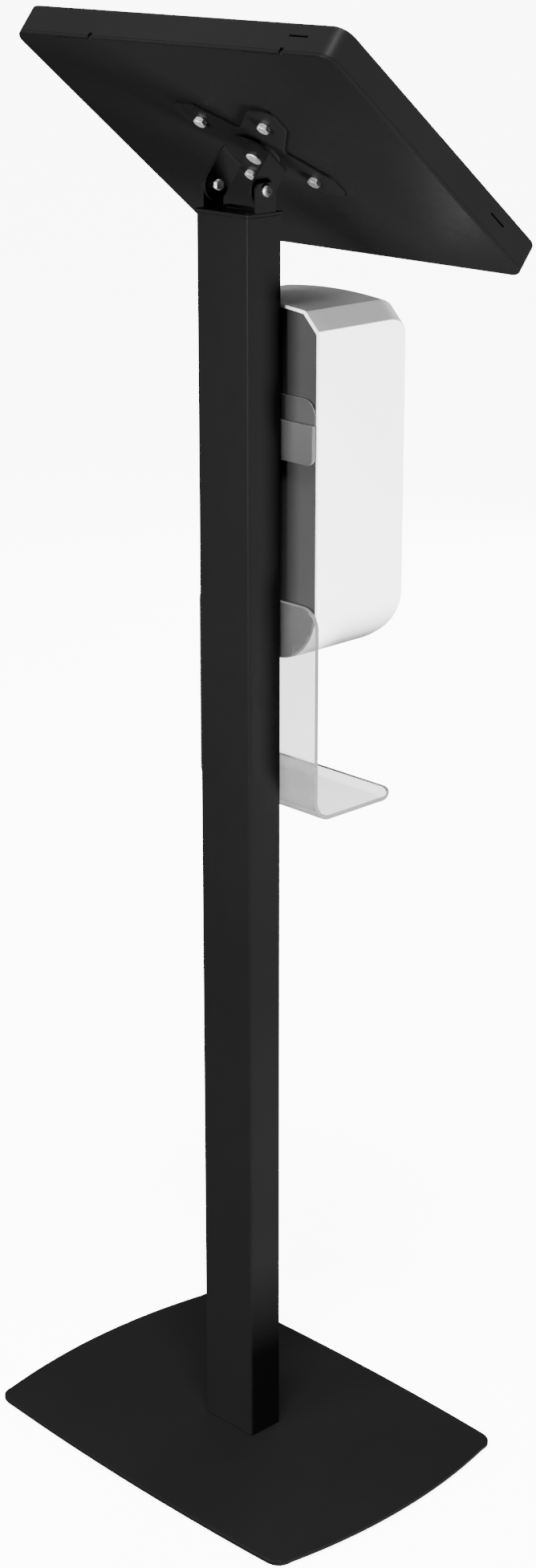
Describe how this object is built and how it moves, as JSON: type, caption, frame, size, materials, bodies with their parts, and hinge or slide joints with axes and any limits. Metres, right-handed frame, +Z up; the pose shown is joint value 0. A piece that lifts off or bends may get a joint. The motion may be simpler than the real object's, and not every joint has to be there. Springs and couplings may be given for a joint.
{
  "type": "touchscreen kiosk",
  "caption": "Floor-standing black kiosk with a tilting, swivelling tablet case on a post and a white hand dispenser with a clear drip tray.",
  "frame": {"origin": "on the floor, under the middle of the post", "axes": "+Z up; the user stands on the -Y side and the screen faces -Y and up; +X is the kiosk's own left"},
  "size_m": [0.419, 0.3125, 1.3104],
  "materials": {
    "black_powder_coat": "satin powder coat",
    "zinc_plate": "bright zinc",
    "black_rubber": "matt",
    "white_moulding": "fine satin moulding",
    "grey_moulding": "matt moulding",
    "grey_bracket": "satin",
    "clear_sheet": "clear polished sheet",
    "milky_bottle": "translucent moulding",
    "black_foam": "matt foam",
    "tablet_shell": "satin anodised",
    "screen_glass": "gloss black glass",
    "dark_lens": "dark gloss window"
  },
  "bodies": {
    "stand": {"base_mat": "black_rubber", "base_plate": "black_powder_coat", "post_insert": "zinc_plate", "base_bolt_1": "zinc_plate", "base_bolt_2": "zinc_plate", "base_bolt_3": "zinc_plate", "base_bolt_4": "zinc_plate", "post": "black_powder_coat", "top_cap": "black_powder_coat", "pivot_screw_left": "zinc_plate", "pivot_screw_right": "zinc_plate", "pivot_nut_left": "zinc_plate", "pivot_nut_right": "zinc_plate", "tilt_washer_left": "black_rubber", "tilt_washer_right": "black_rubber", "hanger_bar": "grey_bracket", "hanger_plate": "grey_bracket", "hanger_screw_1": "zinc_plate", "hanger_screw_2": "zinc_plate", "drip_tray": "clear_sheet", "tray_screw_1": "zinc_plate", "tray_screw_2": "zinc_plate", "dispenser_back": "grey_moulding", "cover_hinge_pin": "zinc_plate", "pump_unit": "grey_moulding", "battery_box": "grey_moulding", "nozzle": "grey_moulding", "reservoir": "milky_bottle", "reservoir_cap": "white_moulding"},
    "tilt_head": {"tilt_yoke": "black_powder_coat", "swivel_spacer": "black_rubber", "swivel_rivet": "zinc_plate"},
    "screen_case": {"arm_plate": "black_powder_coat", "case_bolt_1": "zinc_plate", "case_bolt_2": "zinc_plate", "case_bolt_3": "zinc_plate", "case_bolt_4": "zinc_plate", "back_plate": "black_powder_coat", "lock_catch": "zinc_plate", "corner_pad_1": "black_foam", "corner_pad_2": "black_foam", "corner_pad_3": "black_foam", "corner_pad_4": "black_foam", "tablet_body": "tablet_shell", "tablet_glass": "screen_glass"},
    "housing": {"front_housing": "black_powder_coat", "lock_barrel": "zinc_plate"},
    "lock": {"lock_plug": "zinc_plate", "lock_cam": "zinc_plate"},
    "dispenser_lid": {"dispenser_cover": "white_moulding", "sensor_window": "dark_lens"}
  },
  "joints": [
    {"name": "tilt", "type": "hinge", "parent": "stand", "child": "tilt_head", "pos_m": [0, 0, 1.1711], "axis": [1, 0, 0], "range_deg": [-39, 8]},
    {"name": "swivel", "type": "hinge", "parent": "tilt_head", "child": "screen_case", "pos_m": [0, 0, 1.1711], "axis": [0, -0.6327, 0.7744], "range_deg": [-90, 90]},
    {"name": "housing_hinge", "type": "hinge", "parent": "screen_case", "child": "housing", "pos_m": [0, 0.08164, 1.29158], "axis": [-1, 0, 0], "range_deg": [0, 60]},
    {"name": "lock_turn", "type": "hinge", "parent": "housing", "child": "lock", "pos_m": [0, -0.15632, 1.11421], "axis": [0, -0.7744, -0.6327], "range_deg": [0, 90]},
    {"name": "cover_hinge", "type": "hinge", "parent": "stand", "child": "dispenser_lid", "pos_m": [0, -0.03305, 0.7745], "axis": [1, 0, 0], "range_deg": [0, 50]}
  ]
}
